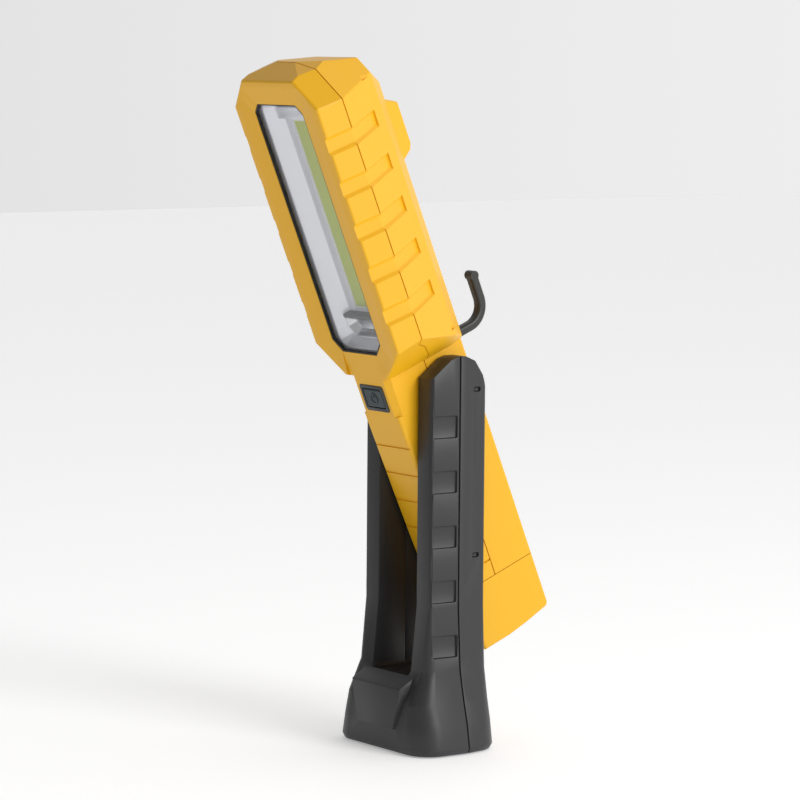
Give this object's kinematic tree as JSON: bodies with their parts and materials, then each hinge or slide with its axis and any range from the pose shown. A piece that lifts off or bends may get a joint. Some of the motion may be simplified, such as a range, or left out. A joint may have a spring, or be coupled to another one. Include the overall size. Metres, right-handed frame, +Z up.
{
  "type": "work light",
  "caption": "Battery work light with an octagonal head, a long light strip and a slim handle, pivoting between the arms of a U-shaped folding stand with a rear hook.",
  "frame": {"origin": "centre of the face that the foot rests on, on the pivot's vertical plane", "axes": "+Z up, -Y is the side the lamp looks towards, +X across along the pivot"},
  "size_m": [0.0648, 0.1359, 0.2846],
  "materials": {
    "stand_plastic": "fine-textured satin moulding",
    "screw_steel": "zinc plated",
    "base_plastic": "matte",
    "pad_rubber": "matte",
    "magnet_nickel": "nickel plated",
    "pin_steel": "ground",
    "washer_nylon": "smooth",
    "housing_yellow": "satin moulding",
    "cap_yellow": "satin moulding",
    "cover_yellow": "satin moulding",
    "lens_clear": "clear polycarbonate",
    "gasket_rubber": "matte",
    "reflector_silver": "vacuum metallised",
    "board_aluminium": "white solder mask",
    "phosphor_yellow": "silicone phosphor layer",
    "sink_aluminium": "plain",
    "board_green": "solder mask",
    "switch_black": "matte",
    "surround_plastic": "satin",
    "cassette_plastic": "matte",
    "cell_wrap": "plain printed sleeve",
    "contact_nickel": "nickel plated",
    "cup_steel": "plain",
    "bush_acetal": "smooth",
    "hook_plastic": "satin moulding",
    "button_rubber": "soft matte",
    "seal_rubber": "matte"
  },
  "bodies": {
    "stand": {"stand_front_shell": "stand_plastic", "stand_rear_shell": "stand_plastic", "stand_screws": "screw_steel", "base_plate": "base_plastic", "foot_pad": "pad_rubber", "base_magnet": "magnet_nickel", "base_screws": "screw_steel", "pivot_pins": "pin_steel", "pivot_washers": "washer_nylon"},
    "lamp": {"front_housing": "housing_yellow", "rear_housing": "housing_yellow", "housing_screws": "screw_steel", "lens": "lens_clear", "lens_gasket": "gasket_rubber", "reflector": "reflector_silver", "cob_board": "board_aluminium", "cob_phosphor": "phosphor_yellow", "heat_sink": "sink_aluminium", "heat_sink_screws": "screw_steel", "driver_board": "board_green", "tactile_switch": "switch_black", "board_screws": "screw_steel", "switch_surround": "surround_plastic", "battery_cassette": "cassette_plastic", "battery_cells": "cell_wrap", "contact_springs": "contact_nickel", "contact_plates": "contact_nickel", "head_magnet": "magnet_nickel", "magnet_cup": "cup_steel", "magnet_cover": "cover_yellow", "hook_pin": "pin_steel", "pivot_bushes": "bush_acetal"},
    "hook": {"hook": "hook_plastic"},
    "switch_button": {"switch_button": "button_rubber"},
    "battery_cap": {"battery_cap": "cap_yellow", "cap_seal": "seal_rubber"}
  },
  "joints": [
    {"name": "lamp_tilt", "type": "hinge", "parent": "stand", "child": "lamp", "pos_m": [0, 0, 0.1366], "axis": [1, 0, 0], "range_deg": [-112.4, 67.6]},
    {"name": "hook_swing", "type": "hinge", "parent": "lamp", "child": "hook", "pos_m": [0.0085, 0.00541, 0.17019], "axis": [0, -0.3811, 0.9245], "range_deg": [0, 90]},
    {"name": "switch_press", "type": "slide", "parent": "lamp", "child": "switch_button", "axis": [0, 0.9245, 0.3811], "range_m": [0, 0.0008], "stiffness_N_per_m": 800},
    {"name": "cap_slide", "type": "slide", "parent": "lamp", "child": "battery_cap", "axis": [0, 0.3811, -0.9245], "range_m": [0, 0.03]}
  ]
}
